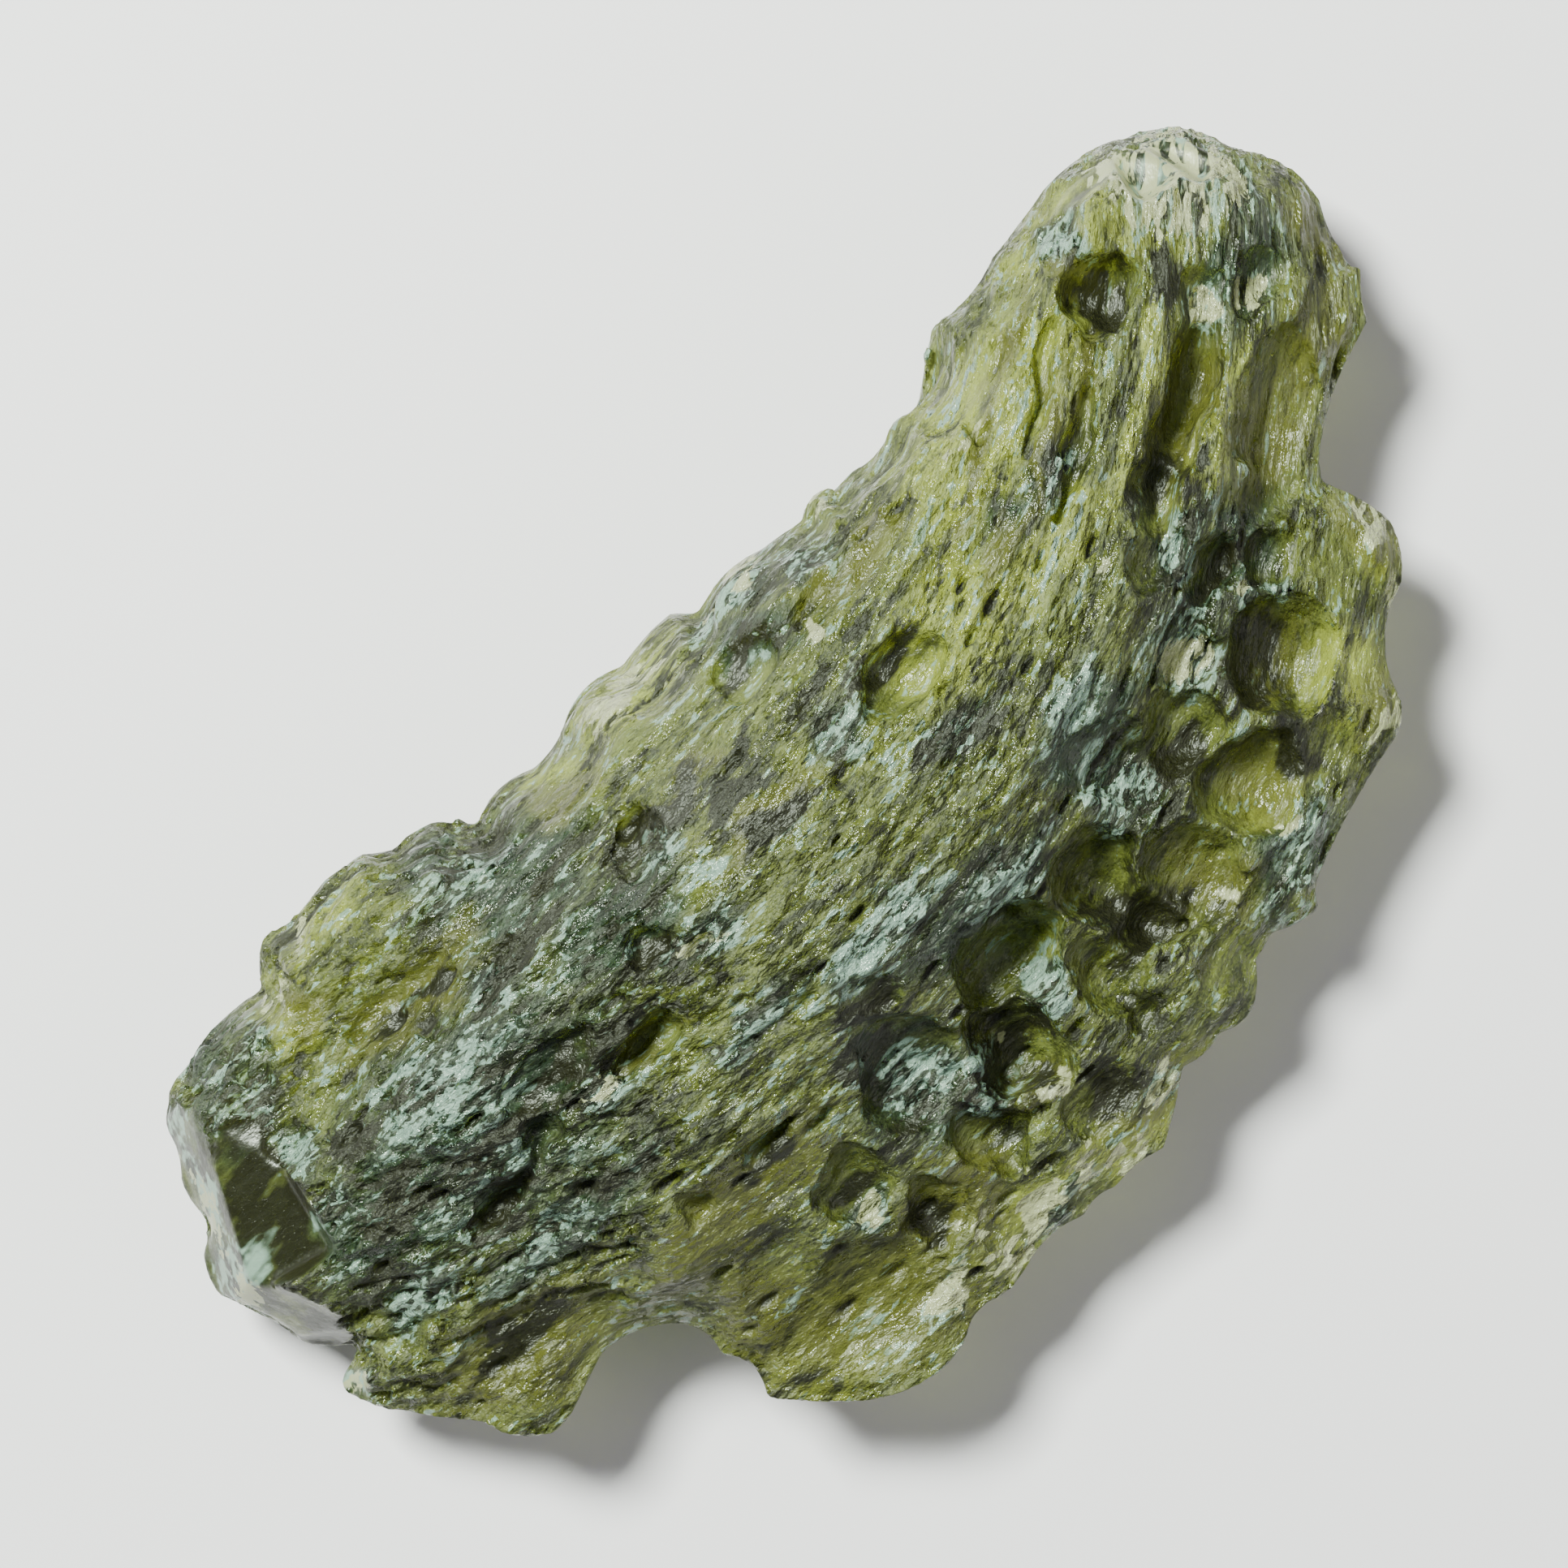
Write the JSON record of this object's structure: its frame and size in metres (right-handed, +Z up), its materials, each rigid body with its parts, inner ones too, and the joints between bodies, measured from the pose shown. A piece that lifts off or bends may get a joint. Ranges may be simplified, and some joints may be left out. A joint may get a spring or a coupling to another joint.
{
  "type": "moldavite",
  "caption": "Natural piece of etched olive green glass with a thick striated ridge, a thin pitted flange and a scalloped edge, lying flat.",
  "frame": {"origin": "middle of the stone's box, on the surface it rests on", "axes": "+X along the stone towards its narrow end, +Y across it towards its thick side, +Z up from the resting feet"},
  "size_m": [0.034, 0.0172, 0.0082],
  "materials": {
    "moldavite": "olive green see-through natural glass with an etched, satin skin"
  },
  "bodies": {
    "root": {"moldavite": "moldavite"}
  },
  "joints": []
}
